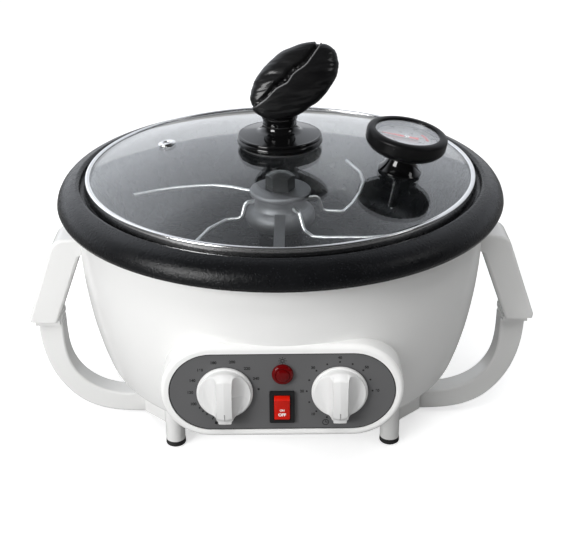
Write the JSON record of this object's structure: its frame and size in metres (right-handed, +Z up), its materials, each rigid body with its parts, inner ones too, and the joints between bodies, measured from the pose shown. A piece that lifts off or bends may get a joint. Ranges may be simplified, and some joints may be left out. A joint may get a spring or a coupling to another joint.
{
  "type": "coffee bean roaster",
  "caption": "Countertop roaster: heated round pan with a driven stirrer under a lift-off glass dome with bean-shaped knob and dial thermometer; front control panel and side handles.",
  "frame": {"origin": "on the floor plane, on the bowl's vertical axis", "axes": "+Z up, -Y towards the user and the control panel, +X to the user's right; symmetric handles on X"},
  "size_m": [0.3548, 0.3, 0.2772],
  "materials": {
    "white_plastic": "satin moulded",
    "control_plastic": "satin moulded",
    "pan_coating": "black non-stick coating",
    "lid_glass": "clear toughened",
    "rolled_steel": "polished",
    "stirrer_steel": "satin",
    "hub_metal": "satin",
    "black_phenolic": "polished",
    "bean_phenolic": "polished, finely wrinkled",
    "gauge_black": "satin",
    "dial_silver": "fine matt with printed scale",
    "pointer_black": "matt",
    "gauge_glass": "clear",
    "panel_grey": "satin with printed scales",
    "lamp_red": "clear red",
    "rocker_red": "gloss",
    "black_nylon": "moulded",
    "black_rubber": "moulded",
    "silicone": "moulded",
    "bearing_bronze": "turned",
    "zinc_steel": "zinc plated",
    "element_steel": "oxidised",
    "shield_aluminium": "mill",
    "terminal_white": "moulded"
  },
  "bodies": {
    "housing": {"outer_casing": "white_plastic", "base_frame": "white_plastic", "rubber_feet": "black_rubber", "left_handle_grip": "white_plastic", "right_handle_grip": "white_plastic", "grip_screws": "zinc_steel", "base_screws": "zinc_steel", "roasting_pan": "pan_coating", "rim_gasket": "silicone", "pan_screws": "stirrer_steel", "pan_standoffs": "shield_aluminium", "heating_element": "element_steel", "element_clips": "shield_aluminium", "heat_shield": "shield_aluminium", "motor_bracket": "zinc_steel", "gear_motor": "zinc_steel", "gearbox": "shield_aluminium", "motor_screws": "zinc_steel", "shaft_bush": "bearing_bronze", "shaft_seal": "silicone", "thermal_fuse": "terminal_white", "thermostat_bulb": "bearing_bronze", "control_panel": "panel_grey", "lamp_lens": "lamp_red", "lamp_body": "black_nylon", "switch_body": "black_nylon", "thermostat_body": "terminal_white", "timer_body": "terminal_white", "cord_gland": "black_nylon", "terminal_block": "terminal_white"},
    "stirrer": {"drive_shaft": "zinc_steel", "stirrer_hub": "hub_metal", "stirrer_cap": "hub_metal", "stirrer_nut": "black_phenolic", "flat_scraper_arm": "stirrer_steel", "upper_sweep_arm": "stirrer_steel", "left_sweep_arm": "stirrer_steel", "front_sweep_arm": "stirrer_steel", "rear_sweep_arm": "stirrer_steel"},
    "lid": {"lid_glass": "lid_glass", "lid_ring": "rolled_steel", "knob_gasket": "silicone", "knob_base": "black_phenolic", "bean_knob": "bean_phenolic", "knob_screw": "zinc_steel", "steam_vent": "rolled_steel", "thermometer_foot": "black_phenolic", "thermometer_case": "gauge_black", "thermometer_band": "rolled_steel", "thermometer_dial": "dial_silver", "thermometer_lens": "gauge_glass", "thermometer_probe": "rolled_steel", "thermometer_nut": "rolled_steel"},
    "pointer": {"thermometer_pointer": "pointer_black"},
    "temperature_control": {"temperature_knob": "control_plastic", "temperature_spindle": "zinc_steel"},
    "timer_control": {"timer_knob": "control_plastic", "timer_spindle": "zinc_steel"},
    "rocker": {"power_rocker": "rocker_red"}
  },
  "joints": [
    {"name": "lid_lift", "type": "slide", "parent": "housing", "child": "lid", "axis": [0, 0, 1], "range_m": [0, 0.12]},
    {"name": "stirrer_spin", "type": "hinge", "parent": "housing", "child": "stirrer", "pos_m": [0, 0, 0.15], "axis": [0, 0, 1], "continuous": true},
    {"name": "temperature_knob_turn", "type": "hinge", "parent": "housing", "child": "temperature_control", "pos_m": [-0.034, -0.1378, 0.1031], "axis": [0, 0.9997, -0.0244], "range_deg": [0, 300]},
    {"name": "timer_knob_turn", "type": "hinge", "parent": "housing", "child": "timer_control", "pos_m": [0.034, -0.1378, 0.1031], "axis": [0, 0.9997, -0.0244], "range_deg": [0, 300]},
    {"name": "rocker_tip", "type": "hinge", "parent": "housing", "child": "rocker", "pos_m": [-0.0002, -0.13804, 0.093], "axis": [-1, 0, 0], "range_deg": [0, 20]},
    {"name": "pointer_swing", "type": "hinge", "parent": "lid", "child": "pointer", "pos_m": [0.077, -0.034, 0.20219], "axis": [-0.1578, 0.0697, -0.985], "range_deg": [-48, 210], "stiffness_Nm_per_rad": 0.0002}
  ]
}
